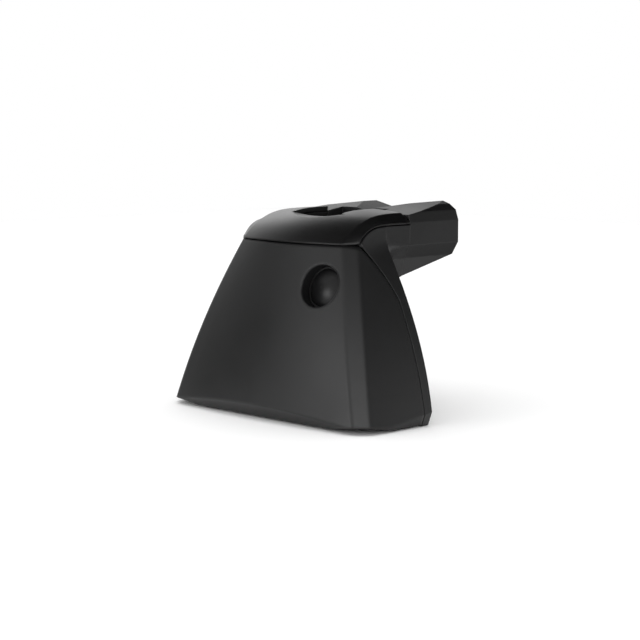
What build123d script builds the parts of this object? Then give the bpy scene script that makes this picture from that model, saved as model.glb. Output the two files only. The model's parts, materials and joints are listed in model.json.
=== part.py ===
"""Roof bar foot for a flush cross bar.

Units are millimetres. X runs across the foot, +Y runs inboard along the bar and +Z is up. The origin lies on the
base face, midway across the foot.
"""

import os
from math import atan2, cos, hypot, sin

from build123d import *

os.makedirs("parts", exist_ok=True)

# Leg: plan size at the base and at the seam under the cap
seam_height = 67.5
base_half_width = 57.5
top_half_width = 32.2
front_half_width = 50.5
corner_bevel = 4.9
corner_round = 2.6
front_corner_y = -14.3
front_lean = 17.3
front_bulge = 4.0
back_y = 22.0
side_flare = 0.73
front_taper_bow = 0.22
lean_bow = 0.45
bottom_chamfer = 7.0
front_foot_inset = 6.0
side_foot_inset = 2.6
corner_lift = 0.2
corner_lift_front_x = 37.0
corner_lift_side_y = 3.0

# Joints between the pieces
wall = 2.6
seam_gap = 0.4
running_fit = 0.06
close_fit = 0.02
seam_y = 18.0
gusset_drop = 21.5
gusset_bow = 1.7

# Cap
cap_back_y = 36.3
cap_rise = 11.9
cap_curl = 3.4
cap_crown = 1.3
cap_wall = 2.2
band_rise = 6.5
band_curl = 6.5
band_lip = 0.6
well_half_width = 13.0
well_front_y = 18.0
well_back_y = 45.0
well_floor_rise = 3.0
well_dip = 1.4
well_dip_half_width = 15.0
cap_post_r = 3.6
cap_post_x = 17.2
cap_post_y = 30.5

# Arm
arm_tip_y = 65.1
arm_step = 0.2
arm_side_top_rise = 7.3
arm_side_low_drop = 1.5
arm_facet_drop = 6.7
arm_facet_inset = 3.2
arm_keel_inset = 6.2
arm_tip_under_drop = 6.6
arm_under_slope = 0.25
arm_root_radius = 7.0
fairing_length = 9.0
fairing_drop = 20.5
flank_blend = 1.1
arm_shoulder_x = 23.8
arm_tip_shoulder_rise = 14.6
arm_lee_shoulder_rise = 11.9
arm_nose_x = 27.3
arm_nose_rise = 13.5
arm_root_shoulder_rise = 10.3
arm_valley_rise = 10.4
arm_valley_half_width = 13.0
arm_valley_edge_rise = 13.4
arm_band_inset = 1.4
arm_band_top_rise = 11.3
arm_lee_band_rise = 9.7
arm_hollow_half_width = 21.0
arm_hollow_front_y = 26.0
arm_hollow_back_y = 59.0
arm_hollow_roof_drop = 1.0
arm_rib = 3.0
core_half_width = 26.0
core_back_y = 17.8
core_roof_drop = 4.0

# Base
base_thickness = 7.0
base_inset = 14.5
base_front_y = -4.5
base_toe_y = 32.0
base_toe_inset = 5.0
base_corner = 4.0
clip_slot_half_width = 20.0
clip_slot_depth = 3.5
cover_foot_z = 0.6

# Cover hinge
hinge_y = 1.0
hinge_z = 4.0
hinge_pin_r = 2.0
hinge_eye_r = 3.4
hinge_inset = 11.0
hinge_lug_width = 7.0
hinge_side_gap = 0.4
hinge_pin_length = 18.0

# Lock
lock_x = 22.9
lock_drop = 15.0
lock_hole_r = 8.4
lock_sleeve_r = 8.2
lock_bore_r = 7.5
lock_recess = 3.2
lock_dome = 2.0
lock_flange_r = 11.0
lock_boss_depth = 7.0
lock_flange_thickness = 2.0
lock_sleeve_depth = 14.0
lock_shaft_r = 3.0
lock_ear_reach = 10.9
lock_ear_r = 2.6
lock_screw_r = 1.25
lock_screw_length = 4.0
lock_screw_head_r = 2.2
lock_screw_head_height = 1.4
shaft_flat = 2.2
cam_thickness = 3.0
cam_reach = 15.0
cam_half_width = 4.0
cam_hub_r = 5.5
cam_corner = 1.5
cam_nut_across = 9.0
cam_nut_height = 2.6
strike_gap = 0.4
strike_thickness = 2.8
strike_inner_x = 2.0
strike_outer_x = 11.0
strike_post = 3.5
strike_drop = 7.5
strike_rise = 0.5

# Tension bolt and carrier
bolt_z = 23.0
bolt_r = 4.0
bolt_head_r = 6.5
bolt_head_height = 8.0
bolt_socket_across = 6.0
bolt_socket_depth = 4.0
bolt_length = 29.0
washer_r = 9.0
washer_thickness = 1.6
carrier_y = 2.0
carrier_thickness = 5.0
carrier_half_width = 17.0
carrier_low_z = 8.4
carrier_high_z = 32.5
carrier_corner = 4.0
clip_ledge_depth = 7.0
clip_ledge_height = 4.0
clip_lip_height = 3.0
clip_lip_thickness = 2.4
bolt_clip_r = 6.8
bolt_clip_thickness = 1.2
bolt_groove_r = 3.4
bolt_tip_chamfer = 1.0
insert_r = 6.5
insert_length = 11.0
insert_boss_wall = 3.0
guide_pin_r = 2.5
guide_pin_x = 12.0
guide_pin_z = 19.0
guide_pin_front_y = 0.0
guide_boss_wall = 2.4
guide_boss_depth = 7.0

# Screws and inserts
cap_screw_r = 2.0
cap_screw_head_r = 3.6
cap_screw_head_height = 2.4
cap_screw_engagement = 4.0
bar_insert_r = 5.5
bar_insert_bore_r = 3.4
bar_insert_length = 8.0
bar_boss_wall = 3.0
bar_boss_drop = 8.5
bar_bolt_first_y = 33.5
bar_bolt_pitch = 19.0

# Heights that follow from the seam, and places that follow from the base
gusset_foot_z = seam_height - gusset_drop
well_floor_z = seam_height + well_floor_rise
arm_side_top_z = seam_height + arm_side_top_rise
arm_side_low_z = seam_height - arm_side_low_drop
arm_facet_z = seam_height - arm_facet_drop
arm_tip_under_z = seam_height - arm_tip_under_drop
fairing_low_z = seam_height - fairing_drop
arm_tip_shoulder_z = seam_height + arm_tip_shoulder_rise
arm_lee_shoulder_z = seam_height + arm_lee_shoulder_rise
arm_nose_z = seam_height + arm_nose_rise
arm_root_shoulder_z = seam_height + arm_root_shoulder_rise
arm_valley_z = seam_height + arm_valley_rise
arm_valley_edge_z = seam_height + arm_valley_edge_rise
arm_band_top_z = seam_height + arm_band_top_rise
arm_lee_band_z = seam_height + arm_lee_band_rise
arm_hollow_roof_z = seam_height - arm_hollow_roof_drop
core_roof_z = seam_height - core_roof_drop
bar_boss_low_z = seam_height - bar_boss_drop
lock_z = seam_height - lock_drop
strike_low_z = lock_z - strike_drop
strike_high_z = lock_z + strike_rise
base_half = base_half_width - base_inset
base_toe_half = base_half - base_toe_inset
hinge_x = base_half - hinge_inset


def rise_share(height):
    """Height as a share of the way from the base to the seam."""
    return height / seam_height


def side_x(height):
    """Half width of the leg at its back edge."""
    share = rise_share(height)
    return base_half_width - (base_half_width - top_half_width) * ((1 - side_flare) * share + side_flare * share**2)


def corner_x(height):
    """Half width of the front face, out to the corner bevel."""
    share = rise_share(height)
    narrowing = front_half_width - (top_half_width - corner_bevel)
    return front_half_width - narrowing * ((1 - front_taper_bow) * share + front_taper_bow * share**2)


def corner_y(height):
    """Place of the front face's edge, which leans inboard as it rises."""
    share = rise_share(height)
    return front_corner_y + front_lean * ((1 - lean_bow) * share + lean_bow * share**2)


def front_y(x, height):
    """Place of the front face at a distance from the middle."""
    return corner_y(height) - front_bulge * (1 - (x / corner_x(height)) ** 2)


def leg_section(height, inset):
    """Plan outline of the leg at a height, set in by a wall."""
    slant = inset * 0.4142
    front_corner = (corner_x(height) - slant, corner_y(height) + inset)
    side_corner = (corner_x(height) + corner_bevel - inset, corner_y(height) + corner_bevel + slant)
    back_corner = (side_x(height) - inset, back_y)
    crest = (0, corner_y(height) - front_bulge + inset)
    with BuildSketch(Plane.XY.offset(height)) as section:
        with BuildLine():
            ThreePointArc((-front_corner[0], front_corner[1]), crest, front_corner)
            Polyline(front_corner, side_corner, back_corner, (-back_corner[0], back_corner[1]))
            Polyline(
                (-back_corner[0], back_corner[1]),
                (-side_corner[0], side_corner[1]),
                (-front_corner[0], front_corner[1]),
            )
        make_face()
        fillet([corner for corner in section.vertices() if corner.Y < back_y - 1], corner_round / (1 + inset))
    return section.sketch


def bottom_wedges(inset):
    """Sloping cuts along the foot of the front and of both sides."""
    reach = 3
    front_step = inset * hypot(front_foot_inset, bottom_chamfer) / bottom_chamfer
    side_step = inset * hypot(side_foot_inset, bottom_chamfer) / bottom_chamfer
    front_foot = corner_y(0) - front_bulge + front_foot_inset + front_step
    side_foot = base_half_width - side_foot_inset - side_step
    far = base_half_width + reach * bottom_chamfer
    with BuildPart() as wedges:
        with BuildSketch(Plane.YZ.offset(-far)):
            with BuildLine():
                Polyline(
                    (front_foot + reach * front_foot_inset, -reach * bottom_chamfer),
                    (front_foot - reach * front_foot_inset, reach * bottom_chamfer),
                    (-far, reach * bottom_chamfer),
                    (-far, -reach * bottom_chamfer),
                    close=True,
                )
            make_face()
        extrude(amount=2 * far)
        with BuildSketch(Plane.XZ.offset(-far)):
            with BuildLine():
                Polyline(
                    (side_foot - reach * side_foot_inset, -reach * bottom_chamfer),
                    (side_foot + reach * side_foot_inset, reach * bottom_chamfer),
                    (far, reach * bottom_chamfer),
                    (far, -reach * bottom_chamfer),
                    close=True,
                )
            make_face()
            mirror(about=Plane.YZ)
        extrude(amount=2 * far)
    return wedges.part


def corner_lifts():
    """Shallow cuts that lift the foot of the two front corners."""
    start = (corner_lift_front_x, corner_y(0) - front_bulge + front_foot_inset)
    end = (base_half_width - side_foot_inset, corner_lift_side_y)
    run_x = end[0] - start[0]
    run_y = end[1] - start[1]
    length = hypot(run_x, run_y)
    ground = Plane(
        origin=((start[0] + end[0]) / 2, (start[1] + end[1]) / 2, cover_foot_z),
        x_dir=(run_x, run_y, 0),
        z_dir=(-corner_lift * run_y / length, corner_lift * run_x / length, 1),
    )
    with BuildPart() as lifts:
        with BuildSketch(ground):
            with Locations((0, -length)):
                Rectangle(6 * length, 2 * length)
        extrude(amount=-length)
        mirror(about=Plane.YZ)
    return lifts.part


def cap_point(share, depth, bulge):
    """Point of the cap's side profile, a depth below its skin."""
    corner = corner_y(seam_height)
    run = cap_back_y - corner
    slope = cap_rise * cap_curl * (1 - share) ** (cap_curl - 1)
    length = hypot(run, slope)
    y = corner + run * share - bulge * (1 - share)
    z = seam_height + seam_gap + cap_rise * (1 - (1 - share) ** cap_curl)
    return (y + depth * slope / length, z - depth * run / length)


def band_point(share, depth):
    """Point of the lower edge of the cap's side band, or a depth under it."""
    start = corner_y(seam_height) + corner_bevel
    rise = band_lip + seam_gap + band_rise * (1 - (1 - share) ** band_curl)
    return (start + (cap_back_y - start) * share, seam_height + rise - depth)


def gusset_top():
    """Upper end of the seam between the cover and the gusset, just under the cap's band."""
    return band_point(0, band_lip + seam_gap)


def gusset_mid():
    """Middle of that seam, which bows inboard."""
    top_y, top_z = gusset_top()
    run_y = top_y - seam_y - seam_gap
    run_z = top_z - gusset_foot_z
    length = hypot(run_y, run_z)
    return (
        (seam_y + seam_gap + top_y) / 2 + gusset_bow * run_z / length,
        (gusset_foot_z + top_z) / 2 - gusset_bow * run_y / length,
    )


def arm_under_z(y):
    """Height of the arm's underside, which deepens toward the leg."""
    return arm_tip_under_z - arm_under_slope * (arm_tip_y - y)


def arm_side_x(z):
    """Half width of the arm under its flat side, down its facets."""
    if z >= arm_side_low_z:
        return top_half_width
    if z >= arm_facet_z:
        return top_half_width - arm_facet_inset * (arm_side_low_z - z) / (arm_side_low_z - arm_facet_z)
    fall = (arm_facet_z - z) / (arm_facet_z - arm_under_z(0))
    return top_half_width - arm_facet_inset - (arm_keel_inset - arm_facet_inset) * fall


def flank_x(y, z):
    """Half width of the body's flank, which curves from the leg's slope up into the arm's upright side."""
    front = corner_y(z) + corner_bevel
    share = (y - front) / (back_y - front)
    slope_x = (corner_x(z) + corner_bevel) * (1 - share) + side_x(z) * share
    reach = slope_x - top_half_width
    return top_half_width + (reach + hypot(reach, 2 * flank_blend)) / 2 - running_fit


def fairing_section(y):
    """Section of the body's flanks, which sweep back into the arm behind the leg."""
    share = max(0, y - back_y) / fairing_length
    blend = 1 - (1 - (1 - share) ** 2) ** 0.5
    edge = []
    for level in range(11):
        z = fairing_low_z + (cap_floor_z - fairing_low_z) * level / 10
        arm_x = arm_side_x(z) - running_fit
        edge.append((arm_x + (flank_x(min(y, back_y), z) - arm_x) * blend, z))
    with BuildSketch(Plane.XZ.offset(-y)) as section:
        with BuildLine():
            Spline(*edge)
            Line(edge[-1], (-edge[-1][0], cap_floor_z))
            Spline(*[(-x, z) for x, z in reversed(edge)])
            Line((-edge[0][0], fairing_low_z), edge[0])
        make_face()
    return section.sketch


def wall_section(x, outer, inner):
    """Strip of the cap's wall between two lines of points."""
    with BuildSketch(Plane.YZ.offset(x)) as section:
        with BuildLine():
            Spline(*outer)
            Line(outer[-1], inner[-1])
            Spline(*inner)
            Line(inner[0], outer[0])
        make_face()
    return section.sketch


def cap_section(x, outer_depth, inner_depth, start):
    """Section of the cap's wall at a distance from the middle."""
    breadth = (x / (top_half_width - corner_bevel)) ** 2
    bulge = front_bulge * (1 - breadth)
    shares = (start, 0.06, 0.15, 0.28, 0.45, 0.7, 1)
    drops = [cap_crown * breadth * (1 - (1 - max(0, share)) ** 6) for share in shares]
    outer = [cap_point(share, outer_depth + low, bulge) for share, low in zip(shares, drops)]
    inner = [cap_point(share, inner_depth + low, bulge) for share, low in zip(shares, drops)]
    return wall_section(x, outer, inner)


def band_section(x, outer_depth, inner_depth, start):
    """Section of the cap's side band at its lower edge."""
    shares = (start, 0.06, 0.15, 0.28, 0.45, 0.7, 1)
    outer = [band_point(share, outer_depth) for share in shares]
    inner = [band_point(share, inner_depth) for share in shares]
    return wall_section(x, outer, inner)


def cap_form(outer_depth, inner_depth, lip, start):
    """Cap wall: a bowed middle and two sloping side bands."""
    middle = top_half_width - corner_bevel
    with BuildPart() as form:
        loft([cap_section(share * middle, outer_depth, inner_depth, start) for share in (-1, -0.5, 0, 0.5, 1)])
        for side in (-1, 1):
            loft(
                [
                    cap_section(side * middle, outer_depth, inner_depth, start),
                    band_section(side * top_half_width, outer_depth, lip, start),
                ],
                ruled=True,
            )
    return form.part


def bar_along_y(x, z, radius, start, end):
    """Round bar that runs inboard from one Y to another."""
    with BuildPart() as bar:
        with BuildSketch(Plane.XZ.offset(-start)):
            with Locations((x, z)):
                Circle(radius)
        extrude(amount=start - end)
    return bar.part


def bar_along_x(y, z, radius, start, end):
    """Round bar that runs across the foot from one X to another."""
    with BuildPart() as bar:
        with BuildSketch(Plane.YZ.offset(start)):
            with Locations((y, z)):
                Circle(radius)
        extrude(amount=end - start)
    return bar.part


def bar_along_z(x, y, radius, start, end):
    """Round bar that runs up from one Z to another."""
    with BuildPart() as bar:
        with BuildSketch(Plane.XY.offset(start)):
            with Locations((x, y)):
                Circle(radius)
        extrude(amount=end - start)
    return bar.part


def block(x_range, y_range, z_range):
    """Square block between two corners."""
    with BuildPart() as solid:
        with BuildSketch(Plane.XY.offset(z_range[0])):
            with Locations(((x_range[0] + x_range[1]) / 2, (y_range[0] + y_range[1]) / 2)):
                Rectangle(x_range[1] - x_range[0], y_range[1] - y_range[0])
        extrude(amount=z_range[1] - z_range[0])
    return solid.part


def lock_bar(radius, low, high, x=0.0, y=0.0):
    """Round bar along the lock's axis, with heights above the cover's face."""
    with BuildPart() as bar:
        with BuildSketch(lock_plane.offset(low)):
            with Locations((x, y)):
                Circle(radius)
        extrude(amount=high - low)
    return bar.part


def lock_flange(low, high):
    """Round flange with an ear above and below for its screws."""
    with BuildPart() as flange:
        with BuildSketch(lock_plane.offset(low)):
            Circle(lock_flange_r)
            SlotCenterToCenter(2 * lock_ear_reach, 2 * lock_ear_r, rotation=90)
        extrude(amount=high - low)
    return flange.part


def lock_shaft(radius, flat, low, high):
    """Shaft with two flats along the lock's axis."""
    with BuildPart() as shaft:
        with BuildSketch(lock_plane.offset(low)):
            Circle(radius)
            Rectangle(2 * flat, 4 * radius, mode=Mode.INTERSECT)
        extrude(amount=high - low)
    return shaft.part


# Place and tilt of the lock in the cover's face
lock_y = front_y(lock_x, lock_z)
lean_rate = (front_lean / seam_height) * ((1 - lean_bow) + 2 * lean_bow * rise_share(lock_z))
lock_tilt = atan2(lean_rate, 1)
lock_plane = Plane(origin=(lock_x, lock_y, lock_z), x_dir=(1, 0, 0), z_dir=(0, -cos(lock_tilt), sin(lock_tilt)))
cam_front = lock_sleeve_depth + seam_gap
cam_back = cam_front + cam_thickness
lock_screw_tip = lock_screw_length - lock_boss_depth - lock_flange_thickness

# Places that follow from the sizes above
body_front_y = seam_y + seam_gap
washer_y = carrier_y - washer_thickness
bolt_clip_y = carrier_y + carrier_thickness + running_fit
insert_back_y = body_front_y + insert_length
guide_pin_back_y = back_y + guide_boss_depth
cap_floor_z = band_point(1, band_lip + seam_gap)[1]
cap_skin_z = cap_point(1, 0, 0)[1]
strike_face_y = lock_y + cam_front * cos(lock_tilt) - cam_half_width * sin(lock_tilt) - strike_gap
arm_half_width = top_half_width - arm_step
arm_root_y = gusset_top()[0] + seam_gap
bar_bolt_ys = (bar_bolt_first_y, bar_bolt_first_y + bar_bolt_pitch)

# Leg as a solid, and the space inside its wall
with BuildPart() as leg_outer:
    loft([leg_section(seam_height * level / 4, 0) for level in range(5)])
    add(bottom_wedges(0), mode=Mode.SUBTRACT)
    add(corner_lifts(), mode=Mode.SUBTRACT)

with BuildPart() as leg_inner:
    loft([leg_section((seam_height + 2) * level / 4 - 1, wall) for level in range(5)])
    add(bottom_wedges(wall), mode=Mode.SUBTRACT)

# Arm as a prism: flush under the cap, then a step smaller where it enters the bar
with BuildPart() as arm_form:
    with BuildSketch(Plane.XZ.offset(-arm_root_y)):
        with BuildLine():
            Polyline(
                (0, cap_skin_z),
                (top_half_width, cap_skin_z),
                (top_half_width, arm_side_low_z),
                (top_half_width - arm_facet_inset, arm_facet_z),
                (top_half_width - arm_keel_inset, arm_under_z(0)),
                (0, arm_under_z(0)),
                close=True,
            )
        make_face()
        mirror(about=Plane.YZ)
    extrude(amount=arm_root_y - cap_back_y)
    with BuildSketch(Plane.XZ.offset(-cap_back_y)):
        with BuildLine():
            Polyline(
                (0, arm_valley_z),
                (arm_valley_half_width, arm_valley_edge_z),
                (arm_shoulder_x, arm_tip_shoulder_z),
                (arm_nose_x, arm_nose_z),
                (arm_half_width - arm_band_inset, arm_band_top_z),
                (arm_half_width, arm_side_top_z),
                (arm_half_width, arm_side_low_z),
                (arm_half_width - arm_facet_inset, arm_facet_z),
                (arm_half_width - arm_keel_inset, arm_under_z(0)),
                (arm_keel_inset - arm_half_width, arm_under_z(0)),
                (arm_facet_inset - arm_half_width, arm_facet_z),
                (-arm_half_width, arm_side_low_z),
                (-arm_half_width, arm_side_top_z),
                (arm_band_inset - arm_half_width, arm_lee_band_z),
                (-arm_shoulder_x, arm_lee_shoulder_z),
                (-arm_valley_half_width, arm_valley_edge_z),
                close=True,
            )
        make_face()
    extrude(amount=cap_back_y - arm_tip_y)

# Side view of the body: leg, gusset and arm
body_shares = (0, 0.06, 0.15, 0.28, 0.45, 0.7, 1)
with BuildPart() as side_form:
    with BuildSketch(Plane.YZ.offset(-base_half_width)) as side_view:
        with BuildLine():
            Line((body_front_y, 0), (body_front_y, gusset_foot_z))
            ThreePointArc((body_front_y, gusset_foot_z), gusset_mid(), gusset_top())
            Spline(*[band_point(share, band_lip + seam_gap) for share in body_shares])
            Polyline(
                (cap_back_y, cap_floor_z),
                (cap_back_y + seam_gap, cap_floor_z),
                (cap_back_y + seam_gap, arm_root_shoulder_z),
                (arm_tip_y, arm_tip_shoulder_z),
                (arm_tip_y, arm_tip_under_z),
                (back_y, arm_under_z(back_y)),
                (back_y, 0),
                (body_front_y, 0),
            )
        make_face()
        fillet(side_view.vertices().sort_by_distance((back_y, arm_under_z(back_y), 0))[0], arm_root_radius)
    extrude(amount=2 * base_half_width)

# Fairing of the flanks into the arm
fairing_steps = (0, 0.02, 0.08, 0.2, 0.4, 0.7, 1)
with BuildPart() as fairing:
    loft(
        [fairing_section(y) for y in (arm_root_y, *[back_y + fairing_length * step for step in fairing_steps])],
        ruled=True,
    )
    add(side_form.part, mode=Mode.INTERSECT)

# Foot body
with BuildPart() as foot_body:
    add(leg_outer.part + arm_form.part)
    add(side_form.part, mode=Mode.INTERSECT)
    add(fairing.part)
    # Core that lightens the leg behind the cover
    add(
        block((-core_half_width, core_half_width), (0, core_back_y), (gusset_foot_z + 1, core_roof_z)),
        mode=Mode.SUBTRACT,
    )
    # Base with its inboard toe
    with BuildSketch():
        with BuildLine():
            Polyline(
                (0, base_front_y),
                (base_half, base_front_y),
                (base_half, back_y),
                (base_toe_half, base_toe_y),
                (0, base_toe_y),
                close=True,
            )
        make_face()
        mirror(about=Plane.YZ)
        fillet(
            [
                corner
                for corner in vertices()
                if abs(corner.X) > 1 and (corner.Y < base_front_y + 1 or corner.Y > base_toe_y - 1)
            ],
            base_corner,
        )
    extrude(amount=base_thickness)
    # Room for the clip, and for the cover's hinge lugs
    add(
        block(
            (-clip_slot_half_width, clip_slot_half_width),
            (base_front_y - 1, base_front_y + clip_slot_depth),
            (-1, base_thickness + 1),
        ),
        mode=Mode.SUBTRACT,
    )
    for side in (-1, 1):
        reach = hinge_lug_width / 2 + hinge_side_gap
        add(
            block(
                (side * hinge_x - reach, side * hinge_x + reach),
                (base_front_y - 1, hinge_y + hinge_eye_r + seam_gap),
                (-1, base_thickness + 1),
            ),
            mode=Mode.SUBTRACT,
        )
        add(
            bar_along_x(
                hinge_y,
                hinge_z,
                hinge_pin_r + close_fit,
                side * hinge_x - hinge_pin_length / 2,
                side * hinge_x + hinge_pin_length / 2,
            ),
            mode=Mode.SUBTRACT,
        )
    # Boss for the tension bolt, and sockets for the guide pins
    add(bar_along_y(0, bolt_z, insert_r + insert_boss_wall, body_front_y, insert_back_y))
    for side in (-1, 1):
        add(
            bar_along_y(side * guide_pin_x, guide_pin_z, guide_pin_r + guide_boss_wall, body_front_y, guide_pin_back_y)
        )
    add(bar_along_y(0, bolt_z, insert_r + close_fit, body_front_y - 1, insert_back_y + 1), mode=Mode.SUBTRACT)
    for side in (-1, 1):
        add(
            bar_along_y(
                side * guide_pin_x, guide_pin_z, guide_pin_r + close_fit, body_front_y - 1, guide_pin_back_y - 1
            ),
            mode=Mode.SUBTRACT,
        )
    # Strike that the lock's cam turns behind
    add(
        block(
            (strike_inner_x, strike_inner_x + strike_post),
            (strike_face_y - strike_thickness, core_back_y + 1),
            (strike_low_z, strike_high_z),
        )
    )
    add(
        block(
            (strike_inner_x, strike_outer_x),
            (strike_face_y - strike_thickness, strike_face_y),
            (strike_low_z, strike_high_z),
        )
    )
    # Well under the cap's window
    add(
        block((-well_half_width, well_half_width), (well_front_y, well_back_y), (well_floor_z, 2 * seam_height)),
        mode=Mode.SUBTRACT,
    )
    # Hollow under the arm, with a rib and the bosses for the bar's bolts
    add(
        block(
            (-arm_hollow_half_width, arm_hollow_half_width),
            (arm_hollow_front_y, arm_hollow_back_y),
            (arm_under_z(back_y) - arm_rib, arm_hollow_roof_z),
        ),
        mode=Mode.SUBTRACT,
    )
    rib_y = sum(bar_bolt_ys) / 2
    add(
        block(
            (-arm_hollow_half_width, arm_hollow_half_width),
            (rib_y - arm_rib / 2, rib_y + arm_rib / 2),
            (bar_boss_low_z, arm_hollow_roof_z),
        )
    )
    for y in bar_bolt_ys:
        add(bar_along_z(0, y, bar_insert_r + bar_boss_wall, bar_boss_low_z, arm_hollow_roof_z))
        add(
            bar_along_z(0, y, bar_insert_r + close_fit, bar_boss_low_z - 1, bar_boss_low_z + bar_insert_length),
            mode=Mode.SUBTRACT,
        )
    # Holes for the cap's screws
    for side in (-1, 1):
        add(
            bar_along_z(
                side * cap_post_x, cap_post_y, cap_screw_r + running_fit, arm_hollow_roof_z - 1, 2 * seam_height
            ),
            mode=Mode.SUBTRACT,
        )
foot_body.part.label = "foot_body"
export_step(foot_body.part, "parts/foot_body.step")

# Top cap, with its window, the dip at the window's lip and two screw posts
cap_post_top_z = cap_skin_z - cap_wall / 2
dip_radius = (well_dip_half_width**2 + well_dip**2) / (2 * well_dip)
lip_share = (well_front_y - corner_y(seam_height)) / (cap_back_y - corner_y(seam_height))
lip_z = cap_point(lip_share, 0, 0)[1]
with BuildPart() as top_cap:
    add(cap_form(0, cap_wall, band_lip, 0))
    for side in (-1, 1):
        add(bar_along_z(side * cap_post_x, cap_post_y, cap_post_r, cap_floor_z + seam_gap / 2, cap_post_top_z))
    add(
        block((-well_half_width, well_half_width), (well_front_y, well_back_y), (seam_height, 2 * seam_height)),
        mode=Mode.SUBTRACT,
    )
    add(
        bar_along_y(0, lip_z - well_dip + dip_radius, dip_radius, corner_y(seam_height), well_front_y),
        mode=Mode.SUBTRACT,
    )
    for side in (-1, 1):
        add(
            bar_along_z(
                side * cap_post_x,
                cap_post_y,
                cap_screw_r + close_fit,
                cap_floor_z - 1,
                cap_floor_z + cap_screw_engagement,
            ),
            mode=Mode.SUBTRACT,
        )
top_cap.part.label = "top_cap"
export_step(top_cap.part, "parts/top_cap.step")

# Front cover
with BuildPart() as front_cover:
    with BuildSketch(Plane.YZ.offset(-base_half_width)):
        top_y = gusset_top()[0] - seam_gap
        with BuildLine():
            Polyline(
                (top_y, gusset_top()[1]),
                (top_y, 2 * seam_height),
                (3 * front_corner_y, 2 * seam_height),
                (3 * front_corner_y, cover_foot_z),
                (seam_y, cover_foot_z),
                (seam_y, gusset_foot_z),
            )
            ThreePointArc(
                (seam_y, gusset_foot_z),
                (gusset_mid()[0] - seam_gap, gusset_mid()[1]),
                (top_y, gusset_top()[1]),
            )
        make_face()
    extrude(amount=2 * base_half_width)
    add(leg_outer.part, mode=Mode.INTERSECT)
    with BuildPart(mode=Mode.PRIVATE) as cover_skin:
        add(front_cover.part)
    add(leg_inner.part, mode=Mode.SUBTRACT)
    # Boss behind the lock's hole
    add(lock_flange(-lock_boss_depth, 2 * wall))
    # Lugs that turn on the hinge pins
    for side in (-1, 1):
        low = side * hinge_x - hinge_lug_width / 2
        high = side * hinge_x + hinge_lug_width / 2
        add(bar_along_x(hinge_y, hinge_z, hinge_eye_r, low, high))
        add(
            block(
                (low, high),
                (front_corner_y, hinge_y),
                (hinge_z - hinge_eye_r, hinge_z + hinge_eye_r - 1),
            )
        )
    add(cover_skin.part, mode=Mode.INTERSECT)
    for side in (-1, 1):
        add(
            bar_along_x(
                hinge_y,
                hinge_z,
                hinge_pin_r + running_fit,
                side * hinge_x - hinge_lug_width,
                side * hinge_x + hinge_lug_width,
            ),
            mode=Mode.SUBTRACT,
        )
    add(lock_bar(lock_hole_r, -2 * lock_boss_depth, 2 * lock_boss_depth), mode=Mode.SUBTRACT)
    for side in (-1, 1):
        add(
            lock_bar(
                lock_screw_r + close_fit, -lock_boss_depth - 1, lock_screw_tip + seam_gap, 0, side * lock_ear_reach
            ),
            mode=Mode.SUBTRACT,
        )
    add(cap_form(-seam_gap, 3 * cap_wall, 3 * cap_wall, -seam_gap / cap_back_y), mode=Mode.SUBTRACT)
front_cover.part.label = "front_cover"
export_step(front_cover.part, "parts/front_cover.step")

# Pins that the cover swings on
for side, name in ((-1, "hinge_pin_left"), (1, "hinge_pin_right")):
    with BuildPart() as hinge_pin:
        add(
            bar_along_x(
                hinge_y,
                hinge_z,
                hinge_pin_r,
                side * hinge_x - hinge_pin_length / 2,
                side * hinge_x + hinge_pin_length / 2,
            )
        )
    hinge_pin.part.label = name
    export_step(hinge_pin.part, "parts/" + name + ".step")

# Lock sleeve, fixed in the cover
with BuildPart() as lock_sleeve:
    add(lock_bar(lock_sleeve_r, -lock_sleeve_depth, -lock_recess))
    add(lock_flange(-lock_boss_depth - lock_flange_thickness, -lock_boss_depth))
    add(lock_bar(lock_bore_r, lock_flange_thickness - lock_sleeve_depth, 0), mode=Mode.SUBTRACT)
    add(lock_bar(lock_shaft_r + running_fit, -lock_sleeve_depth - 1, 0), mode=Mode.SUBTRACT)
    for side in (-1, 1):
        add(
            lock_bar(lock_screw_r + close_fit, -lock_sleeve_depth, 0, 0, side * lock_ear_reach),
            mode=Mode.SUBTRACT,
        )
lock_sleeve.part.label = "lock_sleeve"
export_step(lock_sleeve.part, "parts/lock_sleeve.step")

# Lock plug with its domed face and its shaft
plug_r = lock_bore_r - running_fit
dome_r = (plug_r**2 + lock_dome**2) / (2 * lock_dome)
shaft_end = -cam_back - cam_nut_height - seam_gap
with BuildPart() as lock_plug:
    add(lock_bar(plug_r, lock_flange_thickness - lock_sleeve_depth + running_fit, lock_dome - lock_recess))
    with Locations(lock_plane.offset(lock_dome - lock_recess - dome_r)):
        Sphere(dome_r, mode=Mode.INTERSECT)
    add(lock_bar(lock_shaft_r, -cam_front, lock_flange_thickness - lock_sleeve_depth + 1))
    add(lock_shaft(lock_shaft_r, shaft_flat, shaft_end, -cam_front))
lock_plug.part.label = "lock_plug"
export_step(lock_plug.part, "parts/lock_plug.step")

# Cam that turns behind the strike
with BuildPart() as lock_cam:
    with BuildSketch(lock_plane.offset(-cam_back)):
        with Locations((0, -cam_reach / 2)):
            RectangleRounded(2 * cam_half_width, cam_reach, cam_corner)
        Circle(cam_hub_r)
    extrude(amount=cam_thickness)
    add(lock_shaft(lock_shaft_r + close_fit, shaft_flat + close_fit, -cam_back - 1, 0), mode=Mode.SUBTRACT)
lock_cam.part.label = "lock_cam"
export_step(lock_cam.part, "parts/lock_cam.step")

# Nut that holds the cam
with BuildPart() as cam_nut:
    with BuildSketch(lock_plane.offset(-cam_back - cam_nut_height)):
        RegularPolygon(cam_nut_across / 2, 6, major_radius=False)
        Circle(lock_shaft_r + close_fit, mode=Mode.SUBTRACT)
    extrude(amount=cam_nut_height)
cam_nut.part.label = "cam_nut"
export_step(cam_nut.part, "parts/cam_nut.step")

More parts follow.
